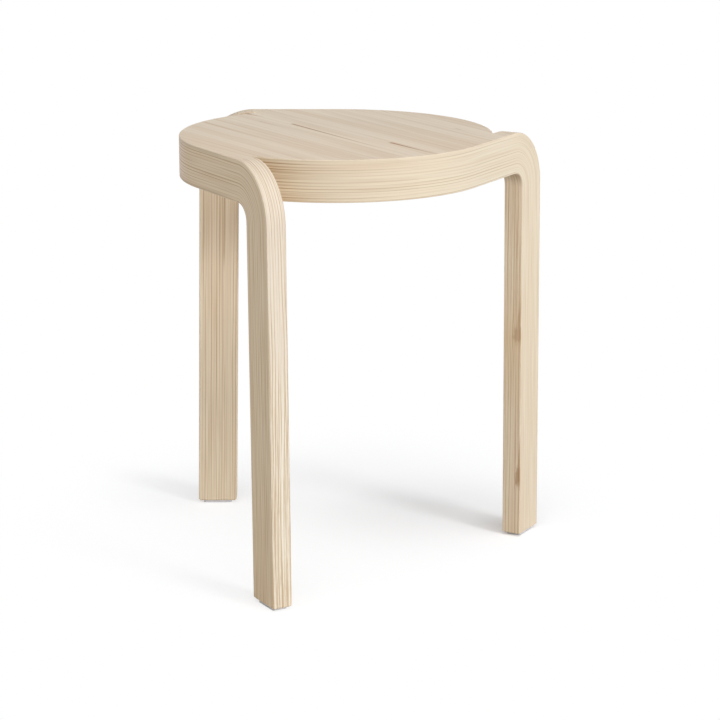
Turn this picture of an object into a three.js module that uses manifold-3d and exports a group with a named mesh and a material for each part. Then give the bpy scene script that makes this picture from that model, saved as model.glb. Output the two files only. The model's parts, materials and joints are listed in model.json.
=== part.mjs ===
// A stacking stool in form-pressed pine. Three L-shaped laminated legs leave a round laminated seat
// one after the other, like the arms of a pinwheel, all turning the same way.
// Millimetres, +Z up, standing on z = 0, with the middle of its outline in plan at x = y = 0.

import * as THREE from 'three';
import { mergeVertices } from 'three/addons/utils/BufferGeometryUtils.js';
import Module from 'manifold-3d';

const wasm = await Module();
wasm.setup();

// Laminations: seat and legs are pressed from plies of one thickness
const plyThickness = 3.5;
const plyCount = 12;
const laminateThickness = plyThickness * plyCount;

// Seat
const seatHeight = 440;
const seatRadius = 160;

// Legs
const legCount = 3;
const firstLegTurn = THREE.MathUtils.degToRad(-60);
const legWidth = 21;
const legLean = THREE.MathUtils.degToRad(1);
const innerBendRadius = 17;
const notchToBend = 10.5;
const footChamfer = 1.5;

// Rounding of every edge that a hand can reach
const edgeRounding = 1;

// Dowels between the seat's core and each arm
const dowelsPerLeg = 3;
const dowelRadius = 4;
const dowelLength = 30;
const dowelDepthInArm = 12;
const dowelPitch = 45;
const dowelRowCentre = 15;
const dowelChamfer = 1;
const dowelFlutes = 16;
const dowelFluteDepth = 0.25;
const dowelEndRoom = 1;

// Glides under the feet
const glideLength = 31;
const glideWidth = 16;
const glideThickness = 3;
const glideCornerRadius = 2.5;
const glideEdgeChamfer = 0.5;

// Countersunk screws that hold the glides
const screwsPerGlide = 2;
const screwPitch = 16;
const screwLength = 18;
const screwRadius = 1.6;
const screwHeadRadius = 3;
const screwHeadHeight = 1.5;
const screwPointLength = 4;
const screwRecess = 0.7;
const screwTipRoom = 1;

// Clearances: the glue line between wooden pieces, and the play round pegs, screws and glides
const glueLine = 0.3;
const pegPlay = 0.3;
const glidePlay = 0.3;

// One overrun for every cut, and how finely curves are divided
const cutOverrun = 5;
const arcDivisions = 10;
const seatArcDivisions = 18;
const roundingSteps = 2;
const pegSides = 24;

// Places that follow from the sizes above
const legTurn = (2 * Math.PI) / legCount;
const outerBendRadius = innerBendRadius + laminateThickness;
const armSide = seatRadius - legWidth;
const halfChord = Math.sqrt(seatRadius ** 2 - armSide ** 2);
const notchAngle = Math.acos(armSide / seatRadius);
const bendStart = halfChord + notchToBend;
const bendHeight = seatHeight - outerBendRadius;
const seatUnderside = seatHeight - laminateThickness;
const coreTop = seatHeight - plyThickness - glueLine;
const coreBottom = seatUnderside + plyThickness + glueLine;
const footHeight = glideThickness + glidePlay;

// Materials
const pine = { color: 0xe6d3b3, roughness: 0.6, metalness: 0 };
const beech = { color: 0xd2ad80, roughness: 0.7, metalness: 0 };
const greyPlastic = { color: 0xc9cbcc, roughness: 0.5, metalness: 0 };
const zincSteel = { color: 0xb4b6b8, roughness: 0.35, metalness: 1 };

// A closed geometry as a solid that can be joined and cut
function toSolid(geometry) {
  const bare = geometry.clone();
  bare.deleteAttribute('normal');
  bare.deleteAttribute('uv');
  const merged = mergeVertices(bare);
  const corners = [];
  for (let i = 0; i < merged.index.count; i += 3) {
    const [a, b, c] = [0, 1, 2].map((corner) => merged.index.getX(i + corner));
    if (a !== b && b !== c && c !== a) corners.push(a, b, c);
  }
  const mesh = new wasm.Mesh({
    numProp: 3,
    vertProperties: new Float32Array(merged.attributes.position.array),
    triVerts: new Uint32Array(corners),
  });
  return new wasm.Manifold(mesh);
}

function toGeometry(solid) {
  const mesh = solid.getMesh();
  const geometry = new THREE.BufferGeometry();
  geometry.setAttribute('position', new THREE.BufferAttribute(mesh.vertProperties, 3));
  geometry.setIndex(new THREE.BufferAttribute(mesh.triVerts, 1));
  geometry.computeVertexNormals();
  return geometry;
}

function namedMesh(name, geometry, finish) {
  const mesh = new THREE.Mesh(geometry, new THREE.MeshStandardMaterial(finish));
  mesh.name = name;
  return mesh;
}

// A block between two corners
function block(low, high) {
  const size = high.map((value, axis) => value - low[axis]);
  const geometry = new THREE.BoxGeometry(...size);
  geometry.translate(...high.map((value, axis) => (value + low[axis]) / 2));
  return geometry;
}

// A turned shape standing on its axis, from [radius, height] pairs that start and end on the axis
function turned(profile) {
  const geometry = new THREE.LatheGeometry(profile.map(([r, z]) => new THREE.Vector2(r, z)), pegSides);
  geometry.rotateX(Math.PI / 2);
  return geometry;
}

// Directions in plan. A leg's arm runs along its turn, and its side faces a quarter turn before that.
function legAngle(leg) {
  return firstLegTurn + leg * legTurn;
}

function sideAngle(leg) {
  return legAngle(leg) - Math.PI / 2;
}

// A point in plan, given by the distance out from the seat's axis and the distance along the arm
function armPoint(leg, out, along) {
  const turn = legAngle(leg);
  const x = along * Math.cos(turn) + out * Math.sin(turn);
  const y = along * Math.sin(turn) - out * Math.cos(turn);
  return new THREE.Vector2(x, y);
}

// Pegs along an arm or a glide, spread evenly about a centre
function spread(count, pitch, centre) {
  return Array.from({ length: count }, (_, i) => centre + (i - (count - 1) / 2) * pitch);
}

// Seat core: a round plate with one flat for each arm
function coreOutline() {
  const outline = new THREE.Shape();
  const flat = armSide - glueLine;
  const flatAngle = Math.acos(flat / seatRadius);
  for (let leg = 0; leg < legCount; leg += 1) {
    const start = sideAngle(leg) + flatAngle;
    const end = sideAngle(leg + 1) - flatAngle;
    outline.absarc(0, 0, seatRadius, start, end, false);
  }
  outline.closePath();
  return outline;
}

function seatCore() {
  const plate = new THREE.ExtrudeGeometry(coreOutline(), {
    depth: coreTop - coreBottom,
    bevelEnabled: false,
    curveSegments: seatArcDivisions,
  });
  plate.translate(0, 0, coreBottom);
  let core = toSolid(plate);
  for (let leg = 0; leg < legCount; leg += 1) {
    for (const along of spread(dowelsPerLeg, dowelPitch, dowelRowCentre)) {
      const hole = dowelHole(along);
      hole.rotateZ(legAngle(leg));
      core = core.subtract(toSolid(hole));
    }
  }
  return toGeometry(core);
}

// Face ply: the whole pinwheel outline in one sheet, up to where the legs start to bend
function pinwheelOutline(tip) {
  const outline = new THREE.Shape();
  for (let leg = 0; leg < legCount; leg += 1) {
    const start = sideAngle(leg - 1) + notchAngle;
    outline.absarc(0, 0, seatRadius, start, sideAngle(leg), false);
    const outerTip = armPoint(leg, seatRadius, tip);
    const innerTip = armPoint(leg, armSide, tip);
    outline.lineTo(outerTip.x, outerTip.y);
    outline.lineTo(innerTip.x, innerTip.y);
  }
  outline.closePath();
  return outline;
}

// The sheet is rounded on both faces and then loses the face that is glued, and its tips
function facePly(bottom, keepTop) {
  const spare = edgeRounding + cutOverrun;
  const sheet = new THREE.ExtrudeGeometry(pinwheelOutline(bendStart + spare), {
    depth: plyThickness + spare - 2 * edgeRounding,
    bevelThickness: edgeRounding,
    bevelSize: edgeRounding,
    bevelOffset: -edgeRounding,
    bevelSegments: roundingSteps,
    curveSegments: seatArcDivisions,
  });
  const sheetBottom = keepTop ? bottom - spare : bottom;
  sheet.translate(0, 0, sheetBottom + edgeRounding);
  const reach = seatRadius + bendStart;
  const low = [-reach, -reach, bottom];
  const high = [reach, reach, bottom + plyThickness];
  if (keepTop) high[2] += cutOverrun;
  else low[2] -= cutOverrun;
  let ply = toSolid(sheet).intersect(toSolid(block(low, high)));
  for (let leg = 0; leg < legCount; leg += 1) {
    const tipLow = [bendStart - glueLine, -seatRadius - cutOverrun, bottom - cutOverrun];
    const tipHigh = [reach, -armSide + cutOverrun, bottom + plyThickness + cutOverrun];
    const tip = block(tipLow, tipHigh);
    tip.rotateZ(legAngle(leg));
    ply = ply.subtract(toSolid(tip));
  }
  return toGeometry(ply);
}

// Leg, with its arm along +X and its sides facing -Y and +Y, before it is turned to its place.
// Its blank is the L of the press mould: arm, bend and leg of one thickness.
function faceReachAt(height, bendRadius) {
  const bendEnd = bendStart + bendRadius * Math.cos(legLean);
  const bendEndHeight = bendHeight + bendRadius * Math.sin(legLean);
  return bendEnd + (bendEndHeight - height) * Math.tan(legLean);
}

function legOutline() {
  const tail = -halfChord - cutOverrun;
  const heel = faceReachAt(footHeight, innerBendRadius);
  const toe = faceReachAt(footHeight, outerBendRadius);
  const chamferHeight = footHeight + footChamfer;
  const outline = new THREE.Shape();
  outline.moveTo(tail, seatUnderside);
  outline.lineTo(bendStart, seatUnderside);
  outline.absarc(bendStart, bendHeight, innerBendRadius, Math.PI / 2, legLean, true);
  outline.lineTo(faceReachAt(chamferHeight, innerBendRadius), chamferHeight);
  outline.lineTo(heel + footChamfer, footHeight);
  outline.lineTo(toe - footChamfer, footHeight);
  outline.lineTo(faceReachAt(chamferHeight, outerBendRadius), chamferHeight);
  outline.absarc(bendStart, bendHeight, outerBendRadius, legLean, Math.PI / 2, false);
  outline.lineTo(tail, seatHeight);
  outline.closePath();
  return outline;
}

function legBlank() {
  const blank = new THREE.ExtrudeGeometry(legOutline(), {
    depth: legWidth - 2 * edgeRounding,
    bevelThickness: edgeRounding,
    bevelSize: edgeRounding,
    bevelOffset: -edgeRounding,
    bevelSegments: roundingSteps,
    curveSegments: arcDivisions,
  });
  blank.rotateX(Math.PI / 2);
  blank.translate(0, -armSide - edgeRounding, 0);
  return blank;
}

// What is milled off the arm so that it carries on the seat's round edge and ends in a feather
function roundTrim() {
  const feather = halfChord + cutOverrun;
  const featherAngle = Math.asin(feather / seatRadius);
  const outside = seatRadius + cutOverrun;
  const trim = new THREE.Shape();
  trim.moveTo(0, -outside);
  trim.lineTo(0, -seatRadius);
  trim.absarc(0, 0, seatRadius, -Math.PI / 2, -Math.PI / 2 - featherAngle, true);
  trim.lineTo(-feather - cutOverrun, -seatRadius * Math.cos(featherAngle));
  trim.lineTo(-feather - cutOverrun, -outside);
  trim.closePath();
  const cutter = new THREE.ExtrudeGeometry(trim, {
    depth: laminateThickness + 2 * cutOverrun,
    bevelEnabled: false,
    curveSegments: arcDivisions,
  });
  cutter.translate(0, 0, seatUnderside - cutOverrun);
  return cutter;
}

// The arm gives up a ply above and below, where the seat's face plies run over it
function rebate(bottom, top) {
  const low = [-seatRadius, -seatRadius - cutOverrun, bottom];
  const high = [bendStart, -armSide + cutOverrun, top];
  return block(low, high);
}

// A dowel's hole through the glue line between core and arm
function dowelHole(along) {
  const hole = turned([
    [0, -dowelEndRoom],
    [dowelRadius + pegPlay, -dowelEndRoom],
    [dowelRadius + pegPlay, dowelLength + dowelEndRoom],
    [0, dowelLength + dowelEndRoom],
  ]);
  hole.applyMatrix4(dowelPlace(along));
  return hole;
}

// A dowel starts in the arm and points at the seat's axis side of the joint
function dowelPlace(along) {
  const place = new THREE.Matrix4().makeRotationX(-Math.PI / 2);
  place.setPosition(along, -armSide - dowelDepthInArm, (coreTop + coreBottom) / 2);
  return place;
}

function dowel(along) {
  const section = new THREE.Shape();
  const points = Array.from({ length: 2 * dowelFlutes }, (_, i) => {
    const angle = (i * Math.PI) / dowelFlutes;
    const radius = dowelRadius - (i % 2) * dowelFluteDepth;
    return new THREE.Vector2(radius * Math.cos(angle), radius * Math.sin(angle));
  });
  section.setFromPoints(points);
  const peg = new THREE.ExtrudeGeometry(section, {
    depth: dowelLength - 2 * dowelChamfer,
    bevelThickness: dowelChamfer,
    bevelSize: dowelChamfer,
    bevelOffset: -dowelChamfer,
    bevelSegments: 1,
  });
  peg.translate(0, 0, dowelChamfer);
  peg.applyMatrix4(dowelPlace(along));
  return peg;
}

// Glide screws, head down
const footMiddle = (faceReachAt(0, innerBendRadius) + faceReachAt(0, outerBendRadius)) / 2;
const legMiddle = -armSide - legWidth / 2;
const screwPlaces = spread(screwsPerGlide, screwPitch, footMiddle);

function screw(along) {
  const tip = screwRecess + screwLength;
  const body = turned([
    [0, screwRecess],
    [screwHeadRadius, screwRecess],
    [screwRadius, screwRecess + screwHeadHeight],
    [screwRadius, tip - screwPointLength],
    [0, tip],
  ]);
  body.translate(along, legMiddle, 0);
  return body;
}

function screwPocket(along) {
  const end = screwRecess + screwLength + screwTipRoom;
  const pocket = turned([
    [0, -cutOverrun],
    [screwHeadRadius + pegPlay, -cutOverrun],
    [screwHeadRadius + pegPlay, screwRecess],
    [screwRadius + pegPlay, screwRecess + screwHeadHeight],
    [screwRadius + pegPlay, end],
    [0, end],
  ]);
  pocket.translate(along, legMiddle, 0);
  return pocket;
}

function leg() {
  let piece = toSolid(legBlank());
  piece = piece.subtract(toSolid(roundTrim()));
  piece = piece.subtract(toSolid(rebate(coreTop, seatHeight + cutOverrun)));
  piece = piece.subtract(toSolid(rebate(seatUnderside - cutOverrun, coreBottom)));
  for (const along of spread(dowelsPerLeg, dowelPitch, dowelRowCentre)) {
    piece = piece.subtract(toSolid(dowelHole(along)));
  }
  for (const along of screwPlaces) {
    piece = piece.subtract(toSolid(screwPocket(along)));
  }
  return toGeometry(piece);
}

// Glide: a flat plastic foot a little smaller than the leg's end
function glideOutline() {
  const halfLength = glideLength / 2;
  const halfWidth = glideWidth / 2;
  const cornerX = halfLength - glideCornerRadius;
  const cornerY = halfWidth - glideCornerRadius;
  const outline = new THREE.Shape();
  outline.absarc(cornerX, cornerY, glideCornerRadius, 0, Math.PI / 2, false);
  outline.absarc(-cornerX, cornerY, glideCornerRadius, Math.PI / 2, Math.PI, false);
  outline.absarc(-cornerX, -cornerY, glideCornerRadius, Math.PI, (3 * Math.PI) / 2, false);
  outline.absarc(cornerX, -cornerY, glideCornerRadius, (3 * Math.PI) / 2, 2 * Math.PI, false);
  outline.closePath();
  return outline;
}

function glide() {
  const plate = new THREE.ExtrudeGeometry(glideOutline(), {
    depth: glideThickness - 2 * glideEdgeChamfer,
    bevelThickness: glideEdgeChamfer,
    bevelSize: glideEdgeChamfer,
    bevelOffset: -glideEdgeChamfer,
    bevelSegments: 1,
    curveSegments: roundingSteps,
  });
  plate.translate(footMiddle, legMiddle, glideEdgeChamfer);
  let piece = toSolid(plate);
  for (const along of screwPlaces) {
    piece = piece.subtract(toSolid(screwPocket(along)));
  }
  return toGeometry(piece);
}

// Assembly
function legGroup(number) {
  const group = new THREE.Group();
  group.rotation.z = legAngle(number - 1);
  group.add(namedMesh(`leg_${number}`, leg(), pine));
  spread(dowelsPerLeg, dowelPitch, dowelRowCentre).forEach((along, i) => {
    group.add(namedMesh(`dowel_${number}_${i + 1}`, dowel(along), beech));
  });
  group.add(namedMesh(`glide_${number}`, glide(), greyPlastic));
  screwPlaces.forEach((along, i) => {
    group.add(namedMesh(`glide_screw_${number}_${i + 1}`, screw(along), zincSteel));
  });
  return group;
}

const stool = new THREE.Group();
stool.add(namedMesh('seat_core', seatCore(), pine));
stool.add(namedMesh('seat_top_ply', facePly(seatHeight - plyThickness, true), pine));
stool.add(namedMesh('seat_bottom_ply', facePly(seatUnderside, false), pine));
for (let number = 1; number <= legCount; number += 1) {
  stool.add(legGroup(number));
}

// The pinwheel isn't centred on the seat's axis in plan, so the whole is moved to centre its outline
const middle = new THREE.Box3().setFromObject(stool, true).getCenter(new THREE.Vector3());
stool.position.set(-middle.x, -middle.y, 0);

export default stool;
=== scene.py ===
"""A stacking stool in form-pressed pine, dressed round its fixed frame: a round laminated seat and three
L-shaped legs that leave it like the arms of a pinwheel. Metres, +Z up."""

import json
import math
from types import SimpleNamespace

import bmesh
import bpy
from bpy.props import FloatProperty, FloatVectorProperty, IntProperty, PointerProperty
from bpy.types import Operator, Panel, PropertyGroup
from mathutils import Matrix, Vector


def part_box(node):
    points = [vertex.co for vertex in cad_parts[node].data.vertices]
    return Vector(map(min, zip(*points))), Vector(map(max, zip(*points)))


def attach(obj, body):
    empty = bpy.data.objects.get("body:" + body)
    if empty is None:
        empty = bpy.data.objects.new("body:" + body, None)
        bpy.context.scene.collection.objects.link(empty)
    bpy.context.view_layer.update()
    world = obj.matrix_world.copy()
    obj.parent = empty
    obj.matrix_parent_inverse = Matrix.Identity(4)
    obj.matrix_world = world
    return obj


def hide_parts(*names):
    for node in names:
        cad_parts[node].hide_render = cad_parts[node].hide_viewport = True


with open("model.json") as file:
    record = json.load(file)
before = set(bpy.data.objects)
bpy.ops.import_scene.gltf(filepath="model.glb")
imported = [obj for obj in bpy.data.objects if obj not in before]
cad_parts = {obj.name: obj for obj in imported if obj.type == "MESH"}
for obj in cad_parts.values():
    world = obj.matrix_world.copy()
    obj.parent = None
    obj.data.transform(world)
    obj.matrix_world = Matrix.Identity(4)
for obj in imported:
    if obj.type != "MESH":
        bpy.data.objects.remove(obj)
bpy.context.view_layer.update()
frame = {"record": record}

bl_info = {
    "name": "Pinwheel Stacking Stool",
    "version": (1, 0, 0),
    "blender": (4, 5, 0),
    "location": "View3D > Sidebar > Stool",
    "description": "Makes a round stacking stool with three form-pressed pine legs",
    "category": "Add Mesh",
}

# What the frame says of the stool
MOUNTS = {mount["name"]: Vector(mount["pos_m"]) for mount in frame["record"]["mounts"]}
SEAT_CENTRE = MOUNTS["seat_top"]
SEAT_AXIS = (SEAT_CENTRE.x, SEAT_CENTRE.y, 0.0)
SCREW_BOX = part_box("glide_screw_3_1")
SCREW_PITCH = SCREW_BOX[0].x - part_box("glide_screw_3_2")[0].x
DOWEL_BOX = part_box("dowel_3_1")
MIDDLE_DOWEL_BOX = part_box("dowel_3_2")
DOWEL_PITCH = DOWEL_BOX[0].x - MIDDLE_DOWEL_BOX[0].x

MILLIMETRE = 0.001
LEG_COUNT = 3
FIRST_LEG_TURN = math.radians(-60)

# How finely curves are divided
ARC_STEPS = 75
ARM_STEPS = 60
BEND_STEPS = 28
UPRIGHT_STEPS = 14
ROUNDING_STEPS = 5
THREAD_STEPS = 8
HOLE_SIDES = 40
SCREW_SIDES = 32
DOWEL_SIDES = 96
SHARP_ANGLE = math.radians(25)
MERGE_DISTANCE = 0.005 * MILLIMETRE

# The room round a screw's head in its countersink
HEAD_PLAY = 0.15 * MILLIMETRE
# Shares of a screw's radius: the core in its thread, the length of its point and the end of that point
THREAD_CORE = 0.68
POINT_LENGTH = 2.5
POINT_END = 0.02
# Half the width of a thread's ridge is its pitch divided by this
RIDGE_SHARPNESS = 5
# Shares of a screw's head: the depth of its driver's cross, and the length and width over the cross
CROSS_DEPTH = 0.4
CROSS_LENGTH = 1.15
CROSS_WIDTH = 0.36
# The share of its depth by which the cross narrows
CROSS_TAPER = 0.3
# Shares of a dowel's radius: the depth of its flutes and the rounding of its ends
FLUTE_DEPTH = 1 / 16
DOWEL_ROUNDING = 1 / 4

# Each leg's grain starts this much further along its pattern, so that no two legs look alike
PATTERN_SHIFT = 10.0


def extent(node):
    """How far a CAD node reaches in each direction."""
    low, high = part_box(node)
    return high - low


def quantity(value, name, hint, **kind):
    """A number that a user would change."""
    return FloatProperty(name=name, description=hint, default=value, **kind)


def metres(value, name, hint):
    """A length."""
    return quantity(value, name, hint, unit="LENGTH", precision=5)


def millimetres(value, name, hint):
    """A length that is set in millimetres and kept in metres."""
    return metres(value * MILLIMETRE, name, hint)


def colour(value, name, hint):
    return FloatVectorProperty(name=name, description=hint, default=value, subtype="COLOR", min=0, max=1)


class StoolSizes(PropertyGroup):
    """The stool's sizes"""

    seat_radius: metres(SEAT_CENTRE.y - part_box("seat_core")[0].y, "Seat radius", "From axis to edge")
    laminate: metres(SEAT_CENTRE.z - MOUNTS["seat_underside"].z, "Laminate thickness", "Of seat and legs")
    ply: metres(extent("seat_top_ply").z, "Ply thickness", "Thickness of one layer")
    leg_width: metres(extent("leg_3").y, "Leg width", "Width along the seat's radius")
    leg_lean: quantity(math.radians(1), "Leg lean", "How far each leg leans out", subtype="ANGLE")
    inner_bend_radius: millimetres(17, "Inner bend radius", "Radius inside the bend from seat to leg")
    notch_to_bend: millimetres(10.5, "Notch to bend", "How far an arm runs straight past the seat's edge")
    foot_chamfer: millimetres(1.5, "Foot chamfer", "Chamfer round the end of each leg")
    edge_rounding: millimetres(1.1, "Edge rounding", "Radius of the edges that a hand can reach")
    glide_corner: millimetres(2.5, "Glide corner", "Corner radius of a glide in plan")
    glide_edge: millimetres(0.5, "Glide edge", "Rounding of a glide's edges")
    screw_head: millimetres(3, "Screw head radius", "Radius of the countersunk head")
    screw_shank: millimetres(1.6, "Screw radius", "Radius over the thread")
    thread_pitch: millimetres(1.5, "Thread pitch", "From one turn of the thread to the next")
    dowel_flutes: IntProperty(name="Dowel flutes", description="Glue grooves round a dowel", default=16)


class PineFinish(PropertyGroup):
    """The colours of the lacquered pine"""

    earlywood: colour((0.86, 0.75, 0.585), "Earlywood", "The pale wood between the year rings")
    latewood: colour((0.58, 0.41, 0.25), "Latewood", "The darker wood of the year rings")
    glue_line: colour((0.46, 0.29, 0.15), "Glue line", "The dark lines where the layers meet")
    blush: colour((0.82, 0.66, 0.50), "Blush", "The pinkish tone that some layers have")
    heart: colour((0.40, 0.22, 0.105), "Knot", "The heart of a knot")
    roughness: quantity(0.64, "Roughness", "Roughness of the matt lacquer", subtype="FACTOR")
    line_pitch: millimetres(3.02, "Line pitch", "From one dark line of the laminate to the next")
    first_line: millimetres(1.2, "First line", "Depth that the dark lines are counted from")


class StudioSettings(PropertyGroup):
    """Light and floor"""

    key_strength: quantity(1.20, "Key light", "Strength of the low lamp at the right")
    over_strength: quantity(1.43, "Top light", "Strength of the broad lamp above")
    room_strength: quantity(0.25, "Room light", "Strength of the light from all round")
    floor_colour: colour((0.9, 0.9, 0.9), "Floor colour", "What the floor sends back to the stool")
    floor_gain: quantity(1.39, "Floor gain", "Makes the floor white to the camera")


def operator_of(operation, swapped=False):
    """A method of Socket that adds a Math node of two operands."""

    def method(self, other):
        return self.math(operation, *((other, self) if swapped else (self, other)))

    return method


class Socket:
    """An output of a node tree. Arithmetic on it adds Math nodes to that tree."""

    def __init__(self, graph, output):
        self.graph = graph
        self.output = output

    def math(self, operation, *operands):
        return self.graph.node("ShaderNodeMath", dict(enumerate(operands)), operation=operation)

    __add__ = __radd__ = operator_of("ADD")
    __mul__ = __rmul__ = operator_of("MULTIPLY")
    __sub__ = operator_of("SUBTRACT")
    __rsub__ = operator_of("SUBTRACT", swapped=True)
    __truediv__ = operator_of("DIVIDE")
    __pow__ = operator_of("POWER")
    __lt__ = operator_of("LESS_THAN")
    most = operator_of("MAXIMUM")
    least = operator_of("MINIMUM")

    def __abs__(self):
        return self.one("ABSOLUTE")

    def one(self, operation):
        """A function of this value alone, such as FLOOR or COSINE."""
        return self.math(operation, self)

    def within(self, low, high, curve="LINEAR"):
        """Where the value lies from low to high: 0 before, 1 after, and even between."""
        values = {"Value": self, "From Min": low, "From Max": high}
        return self.graph.node("ShaderNodeMapRange", values, interpolation_type=curve)

    def rise(self, low, high):
        """A soft step from 0 at low to 1 at high."""
        return self.within(low, high, "SMOOTHSTEP")


class Graph:
    """Adds nodes to a node tree."""

    def __init__(self, tree):
        self.tree = tree

    def node(self, kind, values=None, output=0, **settings):
        """A node of any type: its settings are set first, then what its sockets hold or take."""
        made = self.tree.nodes.new(kind)
        for name, setting in settings.items():
            setattr(made, name, setting)
        self.fill(made, values or {})
        return Socket(self, made.outputs[output]) if made.outputs else made

    def fill(self, made, values):
        """Sets a node's sockets, or links them."""
        for key, value in values.items():
            if isinstance(value, Socket):
                self.tree.links.new(value.output, made.inputs[key])
            else:
                made.inputs[key].default_value = value

    def vector(self, x, y, z):
        return self.node("ShaderNodeCombineXYZ", {"X": x, "Y": y, "Z": z})

    def parts(self, vector):
        """The three numbers of a vector."""
        x = self.node("ShaderNodeSeparateXYZ", {"Vector": vector})
        return [Socket(self, output) for output in x.output.node.outputs]

    def place(self):
        """The three numbers of a point's place."""
        return self.parts(self.node("ShaderNodeTexCoord", output="Object"))

    def noise(self, x, y, z, detail=2.0):
        """Noise from 0 to 1, with a grain of about one unit in each direction."""
        values = {"Vector": self.vector(x, y, z), "Scale": 1.0, "Detail": detail}
        return self.node("ShaderNodeTexNoise", values)

    def spots(self, *grain):
        """Noise at a point's place, with the lengths of its grain in the three directions."""
        return self.noise(*[value / length for value, length in zip(self.place(), grain)])

    def blend(self, factor, first, second, mode="MIX"):
        """A colour from first at 0 to second at 1."""
        values = {0: factor, 6: opaque(first), 7: opaque(second)}
        return self.node("ShaderNodeMix", values, output=2, data_type="RGBA", blend_type=mode)


def opaque(tone):
    """A colour as a socket holds it, or the link that brings it."""
    return tone if isinstance(tone, Socket) else (*tone, 1.0)


def plan(sizes):
    """The places that follow from the stool's sizes."""
    arm_side = sizes.seat_radius - sizes.leg_width
    half_chord = math.sqrt(sizes.seat_radius**2 - arm_side**2)
    bend_start = half_chord + sizes.notch_to_bend
    bend_height = SEAT_CENTRE.z - (sizes.inner_bend_radius + sizes.laminate)
    middle_radius = sizes.inner_bend_radius + sizes.laminate / 2
    lean = sizes.leg_lean
    fall = bend_height + middle_radius * math.sin(lean)
    foot_along = bend_start + middle_radius * math.cos(lean) + fall * math.tan(lean)
    return SimpleNamespace(
        arm_side=arm_side,
        half_chord=half_chord,
        notch_angle=math.acos(arm_side / sizes.seat_radius),
        bend_start=bend_start,
        bend_height=bend_height,
        underside=SEAT_CENTRE.z - sizes.laminate,
        foot=(foot_along, -(arm_side + sizes.leg_width / 2), 0.0),
    )


def leg_turn(leg):
    """The way the arm of a leg runs in plan, counted from 0."""
    return FIRST_LEG_TURN + leg * math.tau / LEG_COUNT


def side_angle(leg):
    """The way the outer side of a leg faces in plan."""
    return leg_turn(leg) - math.pi / 2


def around(radius, turn):
    """The point at a radius and an angle."""
    return radius * math.cos(turn), radius * math.sin(turn)


def arm_point(leg, out, along):
    """A point in plan, from its distances out from the seat's axis and along the leg's arm, with its length
    along the leg's laminate."""
    turn = leg_turn(leg)
    x = SEAT_CENTRE.x + along * math.cos(turn) + out * math.sin(turn)
    y = SEAT_CENTRE.y + along * math.sin(turn) - out * math.cos(turn)
    return x, y, along + leg * PATTERN_SHIFT


def rim_span(leg, radius, nominal_radius, start, end):
    """Points of the seat's round edge from one angle to another, with their length along the laminate."""
    span = []
    for i in range(ARC_STEPS + 1):
        turn = start + (end - start) * i / ARC_STEPS
        x, y = around(radius, turn)
        along = nominal_radius * (turn - side_angle(leg)) + leg * PATTERN_SHIFT
        span.append((SEAT_CENTRE.x + x, SEAT_CENTRE.y + y, along))
    return span


def pinwheel_outline(sizes):
    """The outline of a face ply: the seat's circle with its three arms, up to where the bends start."""
    places = plan(sizes)
    tip = places.bend_start

    def outline(inset, height):
        radius = sizes.seat_radius - inset
        arm_side = places.arm_side + inset
        notch_along = math.sqrt(radius**2 - arm_side**2)
        notch_angle = math.atan2(notch_along, arm_side)
        arm = ((radius, 0), (radius, tip), (arm_side, tip), (arm_side, notch_along))
        spans = []
        for leg in range(LEG_COUNT):
            start = side_angle(leg - 1) + notch_angle
            spans.append(rim_span(leg, radius, sizes.seat_radius, start, side_angle(leg)))
            spans.append([arm_point(leg, out, along) for out, along in arm])
        return spans

    return outline


def core_outline(sizes):
    """The outline of the seat's core: its circle with a flat for each arm."""
    places = plan(sizes)

    def outline(inset, height):
        spans = []
        for leg in range(LEG_COUNT):
            start = side_angle(leg - 1) + places.notch_angle
            end = side_angle(leg) - places.notch_angle
            spans.append(rim_span(leg, sizes.seat_radius, sizes.seat_radius, start, end))
            flat = (-places.half_chord, places.half_chord)
            spans.append([arm_point(leg, places.arm_side, along) for along in flat])
        return spans

    return outline


def loop_of(points):
    """One closed span through the points, for outlines that carry no grain."""
    return [[(x, y, 0.0) for x, y in [*points, points[0]]]]


def round_outline(radius_at, sides):
    """A turned outline whose radius follows from its angle and height."""
    turns = [math.tau * i / sides for i in range(sides)]

    def outline(inset, height):
        return loop_of([around(radius_at(turn, height) - inset, turn) for turn in turns])

    return outline


def rounded_rectangle(length, width, corner):
    """A rectangle with round corners, centred on the origin."""

    def outline(inset, height):
        points = []
        for quarter in range(4):
            first = quarter * math.pi / 2
            middle = first + math.pi / 4
            centre_x = math.copysign(length / 2 - corner, math.cos(middle))
            centre_y = math.copysign(width / 2 - corner, math.sin(middle))
            for i in range(ROUNDING_STEPS + 1):
                x, y = around(corner - inset, first + i * math.pi / 2 / ROUNDING_STEPS)
                points.append((centre_x + x, centre_y + y))
        return loop_of(points)

    return outline


def cross_outline(length, width):
    """The cross that a driver fits, turned on by a quarter from arm to arm."""

    def outline(inset, height):
        long = length / 2 - inset
        short = width / 2 - inset
        arm = [(long, -short), (long, short), (short, short)]
        points = []
        for _ in range(4):
            points += arm
            arm = [(-y, x) for x, y in arm]
        return loop_of(points)

    return outline


def added(name, data):
    piece = bpy.data.objects.new(name, data)
    bpy.context.scene.collection.objects.link(piece)
    return piece


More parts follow.
